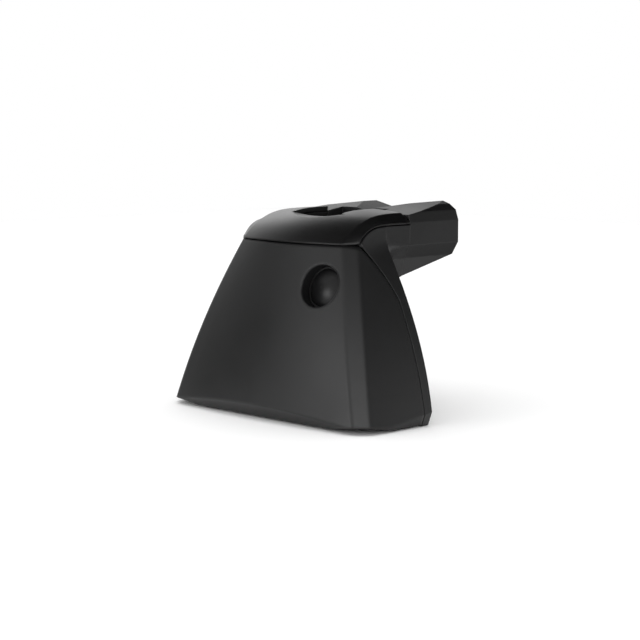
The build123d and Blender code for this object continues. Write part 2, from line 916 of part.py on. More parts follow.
# Screws of the lock sleeve
flange_back = -lock_boss_depth - lock_flange_thickness
for side, name in ((-1, "lock_screw_1"), (1, "lock_screw_2")):
    with BuildPart() as lock_screw:
        add(lock_bar(lock_screw_r, flange_back, lock_screw_tip, 0, side * lock_ear_reach))
        add(
            lock_bar(
                lock_screw_head_r,
                flange_back - lock_screw_head_height,
                flange_back,
                0,
                side * lock_ear_reach,
            )
        )
    lock_screw.part.label = name
    export_step(lock_screw.part, "parts/" + name + ".step")

# Tension bolt
with BuildPart() as tension_bolt:
    add(bar_along_y(0, bolt_z, bolt_head_r, washer_y - bolt_head_height, washer_y))
    add(bar_along_y(0, bolt_z, bolt_r, washer_y, washer_y + bolt_length))
    chamfer(tension_bolt.edges().sort_by(Axis.Y)[-1], bolt_tip_chamfer)
    chamfer(tension_bolt.edges().sort_by(Axis.Y)[0], bolt_tip_chamfer / 2)
    with BuildSketch(Plane.XZ.offset(bolt_head_height - washer_y)):
        with Locations((0, bolt_z)):
            RegularPolygon(bolt_socket_across / 2, 6, major_radius=False)
    extrude(amount=-bolt_socket_depth, mode=Mode.SUBTRACT)
    add(
        bar_along_y(0, bolt_z, bolt_clip_r, bolt_clip_y, bolt_clip_y + bolt_clip_thickness)
        - bar_along_y(0, bolt_z, bolt_groove_r, bolt_clip_y, bolt_clip_y + bolt_clip_thickness),
        mode=Mode.SUBTRACT,
    )
tension_bolt.part.label = "tension_bolt"
export_step(tension_bolt.part, "parts/tension_bolt.step")

# Washer under the bolt's head
with BuildPart() as bolt_washer:
    add(bar_along_y(0, bolt_z, washer_r, washer_y, carrier_y - running_fit))
    add(bar_along_y(0, bolt_z, bolt_r + close_fit, washer_y - 1, carrier_y), mode=Mode.SUBTRACT)
bolt_washer.part.label = "bolt_washer"
export_step(bolt_washer.part, "parts/bolt_washer.step")

# Retaining clip in the bolt's groove
with BuildPart() as bolt_clip:
    add(bar_along_y(0, bolt_z, bolt_clip_r, bolt_clip_y, bolt_clip_y + bolt_clip_thickness))
    add(
        bar_along_y(0, bolt_z, bolt_groove_r + close_fit, bolt_clip_y - 1, bolt_clip_y + bolt_clip_thickness + 1),
        mode=Mode.SUBTRACT,
    )
    add(
        block(
            (-bolt_groove_r / 2, bolt_groove_r / 2),
            (bolt_clip_y - 1, bolt_clip_y + bolt_clip_thickness + 1),
            (bolt_z - 2 * bolt_clip_r, bolt_z),
        ),
        mode=Mode.SUBTRACT,
    )
bolt_clip.part.label = "bolt_clip"
export_step(bolt_clip.part, "parts/bolt_clip.step")

# Threaded insert in the body's boss
with BuildPart() as threaded_insert:
    add(bar_along_y(0, bolt_z, insert_r, body_front_y, insert_back_y))
    add(bar_along_y(0, bolt_z, bolt_r + running_fit, body_front_y - 1, insert_back_y + 1), mode=Mode.SUBTRACT)
threaded_insert.part.label = "threaded_insert"
export_step(threaded_insert.part, "parts/threaded_insert.step")

# Carrier that the fit-kit clip hooks onto
with BuildPart() as clip_carrier:
    with BuildSketch(Plane.XZ.offset(-carrier_y)):
        with Locations((0, (carrier_low_z + carrier_high_z) / 2)):
            RectangleRounded(2 * carrier_half_width, carrier_high_z - carrier_low_z, carrier_corner)
        with Locations((0, carrier_low_z + carrier_corner / 2)):
            Rectangle(2 * carrier_half_width, carrier_corner)
    extrude(amount=-carrier_thickness)
    add(
        block(
            (-carrier_half_width, carrier_half_width),
            (carrier_y - clip_ledge_depth, carrier_y),
            (carrier_low_z, carrier_low_z + clip_ledge_height),
        )
    )
    add(
        block(
            (-carrier_half_width, carrier_half_width),
            (carrier_y - clip_ledge_depth, carrier_y - clip_ledge_depth + clip_lip_thickness),
            (carrier_low_z, carrier_low_z + clip_ledge_height + clip_lip_height),
        )
    )
    add(
        bar_along_y(0, bolt_z, bolt_r + running_fit, carrier_y - 1, carrier_y + carrier_thickness + 1),
        mode=Mode.SUBTRACT,
    )
    for side in (-1, 1):
        add(
            bar_along_y(
                side * guide_pin_x,
                guide_pin_z,
                guide_pin_r + running_fit,
                carrier_y - 1,
                carrier_y + carrier_thickness + 1,
            ),
            mode=Mode.SUBTRACT,
        )
clip_carrier.part.label = "clip_carrier"
export_step(clip_carrier.part, "parts/clip_carrier.step")

# Pins that guide the carrier
for side, name in ((-1, "guide_pin_left"), (1, "guide_pin_right")):
    with BuildPart() as guide_pin:
        add(bar_along_y(side * guide_pin_x, guide_pin_z, guide_pin_r, guide_pin_front_y, guide_pin_back_y - 1))
    guide_pin.part.label = name
    export_step(guide_pin.part, "parts/" + name + ".step")

# Screws that hold the cap, from under the arm
for side, name in ((-1, "cap_screw_1"), (1, "cap_screw_2")):
    with BuildPart() as cap_screw:
        add(
            bar_along_z(
                side * cap_post_x,
                cap_post_y,
                cap_screw_head_r,
                arm_hollow_roof_z - cap_screw_head_height,
                arm_hollow_roof_z,
            )
        )
        add(
            bar_along_z(
                side * cap_post_x,
                cap_post_y,
                cap_screw_r,
                arm_hollow_roof_z,
                cap_floor_z + cap_screw_engagement - seam_gap,
            )
        )
    cap_screw.part.label = name
    export_step(cap_screw.part, "parts/" + name + ".step")

# Threaded inserts for the bar's bolts
for y, name in zip(bar_bolt_ys, ("arm_insert_1", "arm_insert_2")):
    with BuildPart() as arm_insert:
        add(bar_along_z(0, y, bar_insert_r, bar_boss_low_z, bar_boss_low_z + bar_insert_length))
        add(
            bar_along_z(0, y, bar_insert_bore_r, bar_boss_low_z - 1, bar_boss_low_z + bar_insert_length + 1),
            mode=Mode.SUBTRACT,
        )
    arm_insert.part.label = name
    export_step(arm_insert.part, "parts/" + name + ".step")
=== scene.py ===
"""Studio scene of a roof bar foot: finishes for its pieces, and a plain white set around it.

Every length is in metres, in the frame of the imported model: X across the foot, +Y inboard along the arm, +Z up.
"""

import json
import logging
import math
from collections.abc import Callable
from dataclasses import dataclass, field
from enum import Enum, IntEnum
from functools import partial

import bmesh
import bpy
from mathutils import Matrix, Vector

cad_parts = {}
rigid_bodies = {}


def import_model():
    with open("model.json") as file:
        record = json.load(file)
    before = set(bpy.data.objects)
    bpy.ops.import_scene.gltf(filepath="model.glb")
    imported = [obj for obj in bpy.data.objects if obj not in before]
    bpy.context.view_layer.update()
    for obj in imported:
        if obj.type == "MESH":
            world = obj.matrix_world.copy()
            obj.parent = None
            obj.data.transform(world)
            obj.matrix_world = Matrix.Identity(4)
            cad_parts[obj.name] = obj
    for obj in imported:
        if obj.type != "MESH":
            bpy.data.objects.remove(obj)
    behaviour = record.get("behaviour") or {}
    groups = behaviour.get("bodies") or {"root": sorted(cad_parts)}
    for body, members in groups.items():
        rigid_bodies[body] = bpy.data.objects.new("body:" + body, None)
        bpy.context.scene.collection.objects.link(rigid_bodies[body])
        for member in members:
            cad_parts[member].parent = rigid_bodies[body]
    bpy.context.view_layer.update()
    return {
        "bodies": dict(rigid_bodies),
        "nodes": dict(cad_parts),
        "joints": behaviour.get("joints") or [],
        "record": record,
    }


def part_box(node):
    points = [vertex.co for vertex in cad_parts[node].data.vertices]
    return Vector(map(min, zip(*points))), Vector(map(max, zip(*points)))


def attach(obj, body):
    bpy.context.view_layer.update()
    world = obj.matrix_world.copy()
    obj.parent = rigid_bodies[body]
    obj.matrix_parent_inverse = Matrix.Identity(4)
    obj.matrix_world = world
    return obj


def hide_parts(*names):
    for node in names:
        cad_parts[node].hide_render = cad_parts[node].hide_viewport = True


LOG = logging.getLogger("roof_bar_foot")
Colour = tuple[float, float, float]
Place = tuple[float, float, float]
Span = tuple[float, float]
Reach = float | Callable[[float], float]
Feed = float | bpy.types.NodeSocket


class Grain(Enum):
    """Surface relief that a finish carries."""

    MOULDED = "moulded"
    SMOOTH = "smooth"
    CAST = "cast"
    BRUSHED = "brushed"


class Axis(IntEnum):
    """Axis of the model, as an index into a place."""

    X = 0
    Y = 1
    Z = 2


@dataclass(frozen=True)
class Finish:
    """One finish of the foot.

    Attributes:
        name: Name of the material.
        dark: Base colour where the surface is worn least.
        light: Base colour where it is rubbed or dusty.
        roughness: Middle of the roughness range.
        spread: How far the roughness strays from its middle.
        metallic: 1 for bare metal, 0 for a coat or plastic.
        specular: Specular level of the shader.
        grain: Kind of relief.
        grain_size: Size of one grain.
        relief: Depth of the relief.
        edge: Radius that softens the edges.
        rub: Share of the light colour in worn places.
    """

    name: str
    dark: Colour
    light: Colour
    roughness: float
    spread: float
    metallic: float = 0.0
    specular: float = 0.5
    grain: Grain = Grain.MOULDED
    grain_size: float = 0.0004
    relief: float = 0.00002
    edge: float = 0.0005
    rub: float = 0.25


CAST_BLACK = Finish(
    name="cast_black_coat",
    dark=(0.004, 0.004, 0.0042),
    light=(0.009, 0.009, 0.0094),
    roughness=0.42,
    spread=0.05,
    specular=0.42,
    grain=Grain.CAST,
    grain_size=0.0009,
    edge=0.0006,
)
CAP_PLASTIC = Finish(
    name="cap_moulding",
    dark=(0.0025, 0.0025, 0.0026),
    light=(0.0055, 0.0055, 0.0058),
    roughness=0.34,
    spread=0.04,
    specular=0.42,
    grain_size=0.00035,
    relief=0.000008,
    edge=0.0011,
)
COVER_PLASTIC = Finish(
    name="cover_moulding",
    dark=(0.004, 0.004, 0.0042),
    light=(0.008, 0.008, 0.0084),
    roughness=0.44,
    spread=0.05,
    specular=0.42,
    relief=0.000014,
    edge=0.0016,
)
LOCK_FACE = Finish(
    name="lock_face",
    dark=(0.003, 0.003, 0.0032),
    light=(0.006, 0.006, 0.0063),
    roughness=0.34,
    spread=0.05,
    specular=0.25,
    grain=Grain.SMOOTH,
    relief=0.000006,
    edge=0.0004,
)
LOCK_BLACK = Finish(
    name="lock_casting",
    dark=(0.003, 0.003, 0.003),
    light=(0.007, 0.007, 0.007),
    roughness=0.5,
    spread=0.06,
    specular=0.35,
    grain=Grain.CAST,
    relief=0.00001,
    edge=0.0002,
)
GROUND_STEEL = Finish(
    name="ground_steel",
    dark=(0.5, 0.5, 0.51),
    light=(0.66, 0.66, 0.67),
    roughness=0.24,
    spread=0.06,
    metallic=1.0,
    grain=Grain.BRUSHED,
    grain_size=0.00025,
    relief=0.000006,
    edge=0.0002,
)
PLATED_STEEL = Finish(
    name="zinc_plate",
    dark=(0.52, 0.53, 0.55),
    light=(0.7, 0.7, 0.71),
    roughness=0.3,
    spread=0.08,
    metallic=1.0,
    grain=Grain.SMOOTH,
    grain_size=0.001,
    relief=0.000005,
    edge=0.0002,
)
PRESSED_STEEL = Finish(
    name="zinc_pressing",
    dark=(0.45, 0.46, 0.48),
    light=(0.62, 0.62, 0.63),
    roughness=0.34,
    spread=0.08,
    metallic=1.0,
    grain=Grain.BRUSHED,
    relief=0.00001,
    edge=0.0004,
)
BOLT_STEEL = Finish(
    name="dull_bolt_plate",
    dark=(0.34, 0.34, 0.35),
    light=(0.52, 0.52, 0.53),
    roughness=0.36,
    spread=0.08,
    metallic=1.0,
    grain=Grain.SMOOTH,
    grain_size=0.0008,
    relief=0.000006,
    edge=0.00006,
)
SPRING_STEEL = Finish(
    name="oiled_spring_steel",
    dark=(0.13, 0.13, 0.14),
    light=(0.25, 0.25, 0.26),
    roughness=0.34,
    spread=0.06,
    metallic=1.0,
    grain=Grain.BRUSHED,
    grain_size=0.0003,
    relief=0.000004,
    edge=0.0001,
)
TURNED_BRASS = Finish(
    name="turned_brass",
    dark=(0.55, 0.38, 0.14),
    light=(0.74, 0.56, 0.25),
    roughness=0.28,
    spread=0.08,
    metallic=1.0,
    grain=Grain.BRUSHED,
    grain_size=0.0003,
    relief=0.000008,
    edge=0.0002,
)


class NodeSheet:
    """Small helper that places and joins shader nodes in one tree."""

    column_width = 220
    row_height = 160
    rows = 3
    # Sockets of the Mix node when it mixes colours. Their names repeat in it, so they are found by number
    mix_share, mix_first, mix_second, mix_result = 0, 6, 7, 2

    def __init__(self, tree: bpy.types.NodeTree) -> None:
        """Hold the tree and start with an empty row.

        Args:
            tree: Node tree to fill.
        """
        self.tree = tree
        self.column = 0

    def add(self, kind: str, **values: object) -> bpy.types.Node:
        """Place a node and set its plain properties.

        Args:
            kind: Node type, such as "ShaderNodeMix".
            **values: Properties of the node.

        Returns:
            The new node.
        """
        node = self.tree.nodes.new(kind)
        node.location = (self.column_width * self.column, -self.row_height * (self.column % self.rows))
        self.column += 1
        for key, value in values.items():
            setattr(node, key, value)
        return node

    def join(self, source: bpy.types.NodeSocket, target: bpy.types.NodeSocket) -> None:
        """Join two sockets."""
        self.tree.links.new(source, target)

    def feed(self, value: Feed, target: bpy.types.NodeSocket) -> None:
        """Set a socket to a number, or join it to another socket.

        Args:
            value: Number or socket.
            target: Socket that gets it.
        """
        if isinstance(value, (int, float)):
            target.default_value = value
        else:
            self.join(value, target)

    def place(self) -> bpy.types.NodeSocket:
        """Give the place on the object."""
        return self.add("ShaderNodeTexCoord").outputs["Object"]

    def maths(self, operation: str, first: Feed, second: Feed) -> bpy.types.NodeSocket:
        """Place a Math node.

        Args:
            operation: Name of the operation.
            first: Number or socket.
            second: Number or socket.

        Returns:
            The node's output socket.
        """
        node = self.add("ShaderNodeMath", operation=operation)
        self.feed(first, node.inputs[0])
        self.feed(second, node.inputs[1])
        return node.outputs[0]

    def noise(self, vector: bpy.types.NodeSocket, scale: Feed, detail: float) -> bpy.types.NodeSocket:
        """Place a Noise Texture.

        Args:
            vector: Coordinates.
            scale: Number or socket.
            detail: Detail of the noise.

        Returns:
            The noise value, from 0 to 1.
        """
        node = self.add("ShaderNodeTexNoise")
        node.inputs["Detail"].default_value = detail
        self.join(vector, node.inputs["Vector"])
        self.feed(scale, node.inputs["Scale"])
        return node.outputs["Fac"]

    def remap(
        self, value: bpy.types.NodeSocket, low: Feed, high: Feed, span: Span = (0.0, 1.0)
    ) -> bpy.types.NodeSocket:
        """Place a Map Range node.

        Args:
            value: Socket to map.
            low: Number or socket given at the span's start.
            high: Number or socket given at the span's end.
            span: Range of the value that is read.

        Returns:
            The mapped value.
        """
        node = self.add("ShaderNodeMapRange")
        self.join(value, node.inputs["Value"])
        node.inputs["From Min"].default_value, node.inputs["From Max"].default_value = span
        self.feed(low, node.inputs["To Min"])
        self.feed(high, node.inputs["To Max"])
        return node.outputs["Result"]

    def blend(self, share: bpy.types.NodeSocket, first: Colour, second: Colour) -> bpy.types.NodeSocket:
        """Place a Mix node for two colours.

        Args:
            share: Share of the second colour.
            first: Colour at share 0.
            second: Colour at share 1.

        Returns:
            The mixed colour.
        """
        node = self.add("ShaderNodeMix", data_type="RGBA")
        self.join(share, node.inputs[self.mix_share])
        node.inputs[self.mix_first].default_value = (*first, 1.0)
        node.inputs[self.mix_second].default_value = (*second, 1.0)
        return node.outputs[self.mix_result]


class EffectGroups:
    """Node groups that the finishes share. Scales count features in a metre."""

    wave_scale = 90.0
    wave_height = 1.5
    brush_stretch = (1.0, 0.06, 1.0)
    patch_scale, patch_share = 38.0, 0.7
    smear_scale, smear_share = 900.0, 0.3
    speck_scale, speck_span = 2600.0, (0.7, 0.78)
    rubbed_span = (0.35, 0.7)
    roughness_span = (0.3, 0.7)

    def __init__(self) -> None:
        """Build each group once."""
        self.relief = {grain: self._relief(grain) for grain in Grain}
        self.haze = self._haze()

    @staticmethod
    def _new(name: str, inputs: dict[str, float], outputs: tuple[str, ...]) -> bpy.types.NodeTree:
        """Make a group with float sockets.

        Args:
            name: Name of the group.
            inputs: Values of its inputs, by their names.
            outputs: Names of its outputs.

        Returns:
            The new group.
        """
        group = bpy.data.node_groups.new(name, "ShaderNodeTree")
        for title, value in inputs.items():
            socket = group.interface.new_socket(title, in_out="INPUT", socket_type="NodeSocketFloat")
            socket.default_value = value
        for title in outputs:
            group.interface.new_socket(title, in_out="OUTPUT", socket_type="NodeSocketFloat")
        return group

    def _relief(self, grain: Grain) -> bpy.types.NodeTree:
        """Build the relief of one kind of surface.

        Args:
            grain: Kind of relief.

        Returns:
            A group that gives a height.
        """
        group = self._new(f"{grain.value}_relief", {"Grain per metre": 2500.0}, ("Height",))
        sheet = NodeSheet(group)
        source = sheet.add("NodeGroupInput")
        target = sheet.add("NodeGroupOutput")
        place = sheet.place()
        scale = source.outputs["Grain per metre"]
        if grain is Grain.MOULDED:
            cells = sheet.add("ShaderNodeTexVoronoi", feature="F1")
            sheet.join(place, cells.inputs["Vector"])
            sheet.join(scale, cells.inputs["Scale"])
            height = sheet.maths("MULTIPLY", cells.outputs["Distance"], sheet.noise(place, scale, detail=3.0))
        elif grain is Grain.CAST:
            waves = sheet.noise(place, self.wave_scale, detail=2.0)
            swell = sheet.maths("MULTIPLY", waves, self.wave_height)
            height = sheet.maths("ADD", sheet.noise(place, scale, detail=4.0), swell)
        elif grain is Grain.BRUSHED:
            stretch = sheet.add("ShaderNodeMapping")
            stretch.inputs["Scale"].default_value = self.brush_stretch
            sheet.join(place, stretch.inputs["Vector"])
            height = sheet.noise(stretch.outputs["Vector"], scale, detail=3.0)
        else:
            height = sheet.noise(place, scale, detail=2.0)
        sheet.join(height, target.inputs["Height"])
        return group

    def _haze(self) -> bpy.types.NodeTree:
        """Build the haze that handling leaves: patches, fine smears and specks of dust.

        Returns:
            A group that gives a mask of rubbed places and a roughness.
        """
        group = self._new("handling_haze", {"Middle": 0.4, "Spread": 0.05, "Rub": 0.25}, ("Rubbed", "Roughness"))
        sheet = NodeSheet(group)
        source = sheet.add("NodeGroupInput")
        target = sheet.add("NodeGroupOutput")
        place = sheet.place()
        patches = sheet.maths("MULTIPLY", sheet.noise(place, self.patch_scale, detail=5.0), self.patch_share)
        smears = sheet.maths("MULTIPLY", sheet.noise(place, self.smear_scale, detail=3.0), self.smear_share)
        specks = sheet.remap(sheet.noise(place, self.speck_scale, detail=1.0), 0.0, 1.0, self.speck_span)
        mixed = sheet.maths("ADD", patches, smears)
        worn = sheet.maths("ADD", sheet.remap(mixed, 0.0, 1.0, self.rubbed_span), specks)
        sheet.join(sheet.maths("MULTIPLY", worn, source.outputs["Rub"]), target.inputs["Rubbed"])
        low = sheet.maths("SUBTRACT", source.outputs["Middle"], source.outputs["Spread"])
        high = sheet.maths("ADD", source.outputs["Middle"], source.outputs["Spread"])
        sheet.join(sheet.remap(mixed, low, high, self.roughness_span), target.inputs["Roughness"])
        return group


@dataclass
class FinishShop:
    """Makes one material for each finish.

    Attributes:
        groups: Node groups that the materials share.
        edge_samples: Rays that soften an edge.
        made: Materials that are ready.
    """

    groups: EffectGroups
    edge_samples: int = 6
    made: dict[str, bpy.types.Material] = field(default_factory=dict)

    def material(self, finish: Finish) -> bpy.types.Material:
        """Give the material of a finish.

        Args:
            finish: The finish.

        Returns:
            Its material.
        """
        if finish.name not in self.made:
            self.made[finish.name] = self._build(finish)
        return self.made[finish.name]

    def _build(self, finish: Finish) -> bpy.types.Material:
        """Build the node tree of a finish.

        Args:
            finish: The finish.

        Returns:
            The new material.
        """
        material = bpy.data.materials.new(finish.name)
        material.use_nodes = True
        material.node_tree.nodes.clear()
        sheet = NodeSheet(material.node_tree)
        shader = sheet.add("ShaderNodeBsdfPrincipled")
        output = sheet.add("ShaderNodeOutputMaterial")
        sheet.join(shader.outputs["BSDF"], output.inputs["Surface"])
        shader.inputs["Metallic"].default_value = finish.metallic
        shader.inputs["Specular IOR Level"].default_value = finish.specular

        haze = sheet.add("ShaderNodeGroup", node_tree=self.groups.haze)
        haze.inputs["Middle"].default_value = finish.roughness
        haze.inputs["Spread"].default_value = finish.spread
        haze.inputs["Rub"].default_value = finish.rub
        sheet.join(haze.outputs["Roughness"], shader.inputs["Roughness"])
        colour = sheet.blend(haze.outputs["Rubbed"], finish.dark, finish.light)
        sheet.join(colour, shader.inputs["Base Color"])

        relief = sheet.add("ShaderNodeGroup", node_tree=self.groups.relief[finish.grain])
        relief.inputs["Grain per metre"].default_value = 1.0 / finish.grain_size
        edge = sheet.add("ShaderNodeBevel", samples=self.edge_samples)
        edge.inputs["Radius"].default_value = finish.edge
        bump = sheet.add("ShaderNodeBump")
        bump.inputs["Strength"].default_value = 1.0
        bump.inputs["Distance"].default_value = finish.relief
        sheet.join(relief.outputs["Height"], bump.inputs["Height"])
        sheet.join(edge.outputs["Normal"], bump.inputs["Normal"])
        sheet.join(bump.outputs["Normal"], shader.inputs["Normal"])
        return material


def as_object(form: bmesh.types.BMesh, name: str) -> bpy.types.Object:
    """Turn a form into an object of the scene, and free the form.

    Args:
        form: The finished form.
        name: Name of the object.

    Returns:
        The new object.
    """
    bmesh.ops.recalc_face_normals(form, faces=form.faces)
    mesh = bpy.data.meshes.new(name)
    form.to_mesh(mesh)
    form.free()
    thing = bpy.data.objects.new(name, mesh)
    bpy.context.collection.objects.link(thing)
    return thing


@dataclass(frozen=True)
class Line:
    """Line that a turned piece is built around.

    Attributes:
        seat: Point where the height is zero.
        way: Direction in which the height grows.
    """

    seat: Place
    way: Place

    @classmethod
    def through(cls, node: str, axis: Axis, inset: float = 0.0, sign: int = 1) -> "Line":
        """Give the line through a node's middle, from one end of its box to the other.

        Args:
            node: Name of the node.
            axis: Axis that the line runs along.
            inset: Distance from the end to the line's seat.
            sign: 1 to start at the low end, -1 to start at the high end.

        Returns:
            The line.
        """
        low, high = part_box(node)
        seat = [(first + second) / 2 for first, second in zip(low, high)]
        seat[axis] = (low if sign > 0 else high)[axis] + sign * inset
        way = [0.0, 0.0, 0.0]
        way[axis] = float(sign)
        return cls(tuple(seat), tuple(way))

    def matrix(self) -> Matrix:
        """Give the transform from the line to the model."""
        return Matrix.Translation(self.seat) @ Vector(self.way).to_track_quat("Z", "Y").to_matrix().to_4x4()


class Drive(Enum):
    """Recess that a tool turns."""

    HEX = "hex"
    LOBED = "lobed"

    def reach(self, size: float, angle: float) -> float:
        """Give the recess's reach from its middle.

        Args:
            size: Half of the distance across its flats, or the middle reach of its lobes.
            angle: Angle around the axis.

        Returns:
            The reach at that angle.
        """
        sides = 6
        if self is Drive.HEX:
            side = 2 * math.pi / sides
            return size / math.cos((angle + side / 2) % side - side / 2)
        lobe_share = 0.14
        return size * (1.0 + lobe_share * math.cos(sides * angle))


@dataclass(frozen=True)
class Thread:
    """Thread of one start.

    Attributes:
        start: Height where it starts.
        end: Height where it ends.
        pitch: Rise in one turn.
        depth: Depth of its groove.
        rings_per_turn: Rings that draw one turn.
    """

    start: float
    end: float
    pitch: float
    depth: float
    rings_per_turn: int = 6

    def dip(self, height: float, angle: float) -> float:
        """Give the depth of the groove.

        Args:
            height: Height on the axis.
            angle: Angle around the axis.

        Returns:
            The depth at that point, which fades in the first and the last turn.
        """
        fade = min(1.0, (height - self.start) / self.pitch, (self.end - height) / self.pitch)
        turn = (height / self.pitch - angle / (2 * math.pi)) % 1.0
        return max(0.0, fade) * self.depth * abs(2 * turn - 1)

    def heights(self) -> list[float]:
        """Give the heights of the rings that draw it."""
        count = round(self.rings_per_turn * (self.end - self.start) / self.pitch)
        return [self.start + (self.end - self.start) * step / count for step in range(count + 1)]


class RingForm:
    """Mesh made of rings around a line."""

    columns = 36
    crease = math.radians(35)

    def __init__(self) -> None:
        """Start with no ring."""
        self.form = bmesh.new()
        self.rings: list[list[bmesh.types.BMVert]] = []

    def ring(self, height: float, reach: Reach) -> None:
        """Add a ring and join it to the one before.

        Args:
            height: Height on the line.
            reach: Radius, or what gives the radius at an angle.
        """
        ring = []
        for step in range(self.columns):
            angle = 2 * math.pi * step / self.columns
            radius = reach(angle) if callable(reach) else reach
            ring.append(self.form.verts.new((radius * math.cos(angle), radius * math.sin(angle), height)))
        self.rings.append(ring)
        if len(self.rings) > 1:
            self._join(self.rings[-2], ring)

    def _join(self, first: list[bmesh.types.BMVert], second: list[bmesh.types.BMVert]) -> None:
        """Lay faces between two rings.

        Args:
            first: One ring.
            second: The other ring.
        """
        for step in range(self.columns):
            after = (step + 1) % self.columns
            self.form.faces.new((first[step], first[after], second[after], second[step]))

    def close_tube(self) -> None:
        """Join the last ring to the first."""
        self._join(self.rings[-1], self.rings[0])

    def close_ends(self) -> None:
        """Lay a flat face in the first and the last ring."""
        self.form.faces.new(list(reversed(self.rings[0])))
        self.form.faces.new(self.rings[-1])

    def piece(self, name: str, line: Line) -> bpy.types.Object:
        """Turn the rings into an object.

        Args:
            name: Name of the object.
            line: Line that the rings are around.

        Returns:
            The new object.
        """
        self.form.transform(line.matrix())
        thing = as_object(self.form, name)
        thing.data.polygons.foreach_set("use_smooth", [True] * len(thing.data.polygons))
        thing.data.set_sharp_from_angle(angle=self.crease)
        return thing


@dataclass(frozen=True)
class Groove:
    """Groove around a shank.

    Attributes:
        start: Height where it starts.
        end: Height where it ends.
        radius: Radius of its floor.
    """

    start: float
    end: float
    radius: float


@dataclass(frozen=True)
class Screw:
    """Screw with a cheese head. Height zero is under the head, and grows toward the tip.

    Attributes:
        head_radius: Radius of the head.
        head_height: Height of the head.
        radius: Radius over the thread.
        length: Length of the shank.
        drive: Kind of recess in the head.
        drive_size: Size of the recess.
        drive_depth: Depth of the recess.
        thread: Thread on the shank.
        tip_bevel: Bevel at the tip.
        head_bevel: Bevel around the head.
        groove: Groove for a clip, if there is one.
    """

    head_radius: float
    head_height: float
    radius: float
    length: float
    drive: Drive
    drive_size: float
    drive_depth: float
    thread: Thread
    tip_bevel: float = 0.0003
    head_bevel: float = 0.0003
    groove: Groove | None = None

    def build(self, name: str, line: Line) -> bpy.types.Object:
        """Build the screw.

        Args:
            name: Name of the object.
            line: Line from under the head to the tip.

        Returns:
            The new object.
        """
        form = RingForm()
        recess = partial(self.drive.reach, self.drive_size)
        form.ring(self.drive_depth - self.head_height, recess)
        form.ring(-self.head_height, recess)
        form.ring(-self.head_height, self.head_radius - self.head_bevel)
        form.ring(self.head_bevel - self.head_height, self.head_radius)
        form.ring(0.0, self.head_radius)
        form.ring(0.0, self.radius)
        if self.groove:
            form.ring(self.groove.start, self.radius)
            form.ring(self.groove.start, self.groove.radius)
            form.ring(self.groove.end, self.groove.radius)
            form.ring(self.groove.end, self.radius)
        for height in self.thread.heights():
            form.ring(height, partial(self._shank, height))
        form.ring(self.length - self.tip_bevel, self.radius)
        form.ring(self.length, self.radius - self.tip_bevel)
        form.close_ends()
        return form.piece(name, line)

    def _shank(self, height: float, angle: float) -> float:
        """Give the radius of the threaded shank."""
        return self.radius - self.thread.dip(height, angle)


@dataclass(frozen=True)
class Insert:
    """Threaded insert: a tube with a knurl outside and a thread inside. Height zero is its open face.

    Attributes:
        radius: Radius over the knurl.
        bore: Radius of the bore.
        length: Length of the insert.
        pitch: Rise of the thread in one turn.
        thread_depth: Depth of the thread.
        knurl_depth: Depth of the knurl.
        mouth: Bevel at the ends.
    """

    radius: float
    bore: float
    length: float
    pitch: float
    thread_depth: float = 0.0004
    knurl_depth: float = 0.00015
    mouth: float = 0.0004

    def build(self, name: str, line: Line) -> bpy.types.Object:
        """Build the insert.

        Args:
            name: Name of the object.
            line: Line from its open face inward.

        Returns:
            The new object.
        """
        form = RingForm()
        thread = Thread(self.mouth, self.length - self.mouth, self.pitch, self.thread_depth)
        form.ring(0.0, self.bore + self.mouth)
        for height in thread.heights():
            form.ring(height, partial(self._bore, thread, height))
        form.ring(self.length, self.bore + self.mouth)
        form.ring(self.length, self.radius - self.mouth)
        form.ring(self.length - self.mouth, self._knurl)
        form.ring(self.mouth, self._knurl)
        form.ring(0.0, self.radius - self.mouth)
        form.close_tube()
        return form.piece(name, line)

    def _bore(self, thread: Thread, height: float, angle: float) -> float:
        """Give the radius of the threaded bore."""
        return self.bore + thread.dip(height, angle)

    def _knurl(self, angle: float) -> float:
        """Give the radius over the knurl, with a ridge at every second column."""
        return self.radius - self.knurl_depth * (0.5 + 0.5 * math.cos(RingForm.columns / 2 * angle))


class SubAssembly:
    """Pieces that are built and dressed together."""

    finishes: dict[str, Finish] = {}

    def fittings(self, record: dict) -> dict[str, bpy.types.Object]:
        """Build the pieces that stand for plain solids.

        Args:
            record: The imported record.

        Returns:
            The pieces, by the name of the solid that each one stands for.
        """
        return {}

    def dress(self, frame: dict, shop: FinishShop) -> None:
        """Build the fittings and give each piece its finish.

        Args:
            frame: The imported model.
            shop: Source of the materials.
        """
        record = frame["record"]
        fittings = self.fittings(record)
        for node, finish in self.finishes.items():
            piece = fittings.get(node, frame["nodes"][node])
            piece.data.materials.clear()
            piece.data.materials.append(shop.material(finish))
            if node in fittings:
                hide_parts(node)
                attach(piece, self._body(record, node))
                self._slot(record, node)
            LOG.info("%s: %s", piece.name, finish.name)

    @staticmethod
    def _body(record: dict, node: str) -> str:
        """Give the body that a node moves with."""
        return next(body for body, nodes in record["behaviour"]["bodies"].items() if node in nodes)

    @staticmethod
    def _slot(record: dict, node: str) -> str:
        """Give the material slot of a node."""
        return next(row["material_slot"] for row in record["subparts"] if row["node"] == node)


